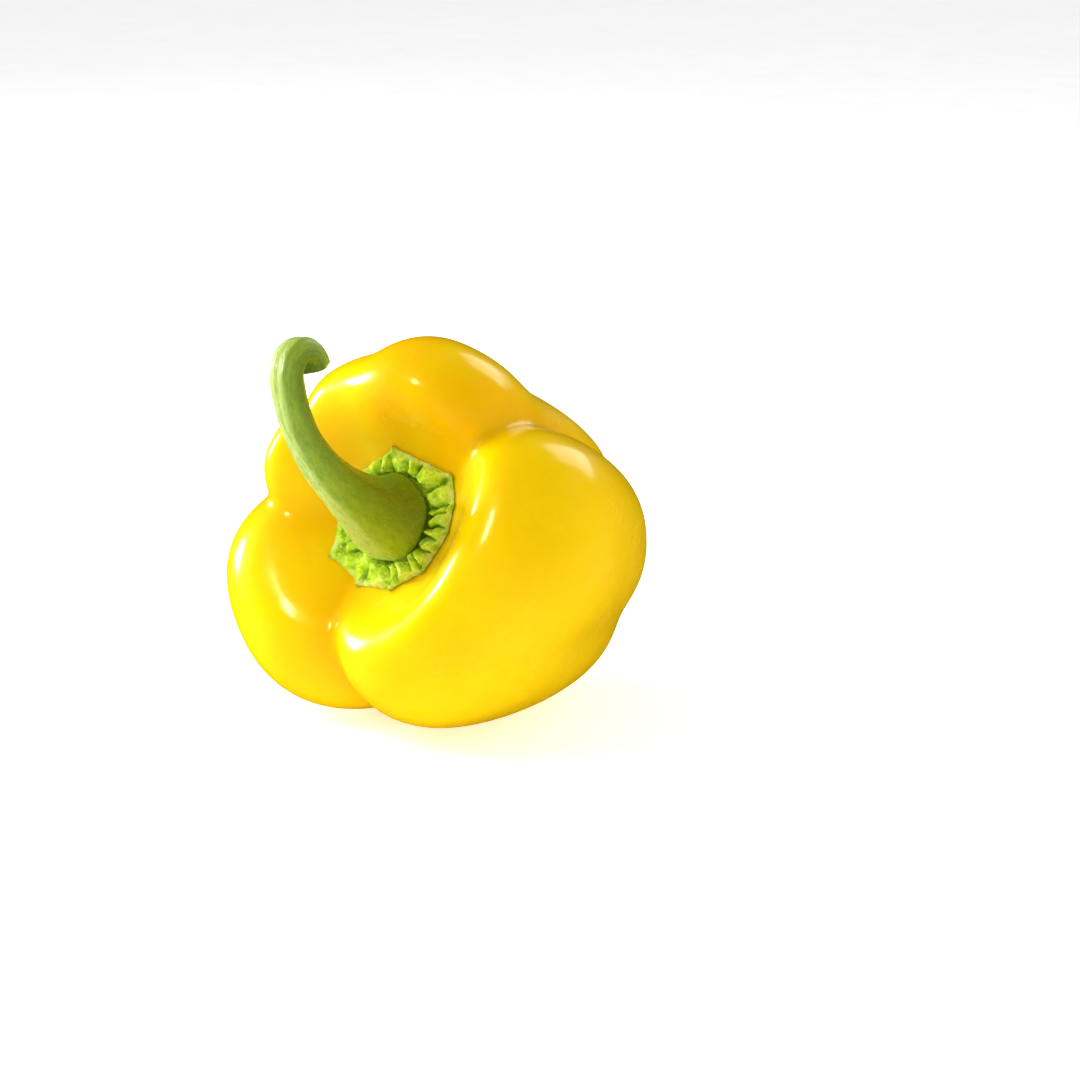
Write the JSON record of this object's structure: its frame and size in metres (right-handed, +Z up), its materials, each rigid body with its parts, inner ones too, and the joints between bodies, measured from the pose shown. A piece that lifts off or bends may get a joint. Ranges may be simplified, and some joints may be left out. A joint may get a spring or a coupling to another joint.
{
  "type": "yellow bell pepper",
  "caption": "Ripe yellow bell pepper lying on its side, blocky lobed body with a ridged green calyx and a long stem hooked at the tip.",
  "frame": {"origin": "on the surface the pepper lies on, under the middle of its bounding box", "axes": "+Z up; the stem end faces -Y and is raised 14.5 degrees, the blossom end faces +Y; +X runs across the fruit"},
  "size_m": [0.0974, 0.1116, 0.0966],
  "materials": {
    "skin": "smooth, waxy, high gloss skin",
    "calyx": "lumpy ridged green leaf tissue, slightly glossy",
    "stem": "fine lengthwise ridges, satin"
  },
  "bodies": {
    "root": {"fruit_body": "skin", "calyx": "calyx", "stem": "stem"}
  },
  "joints": []
}
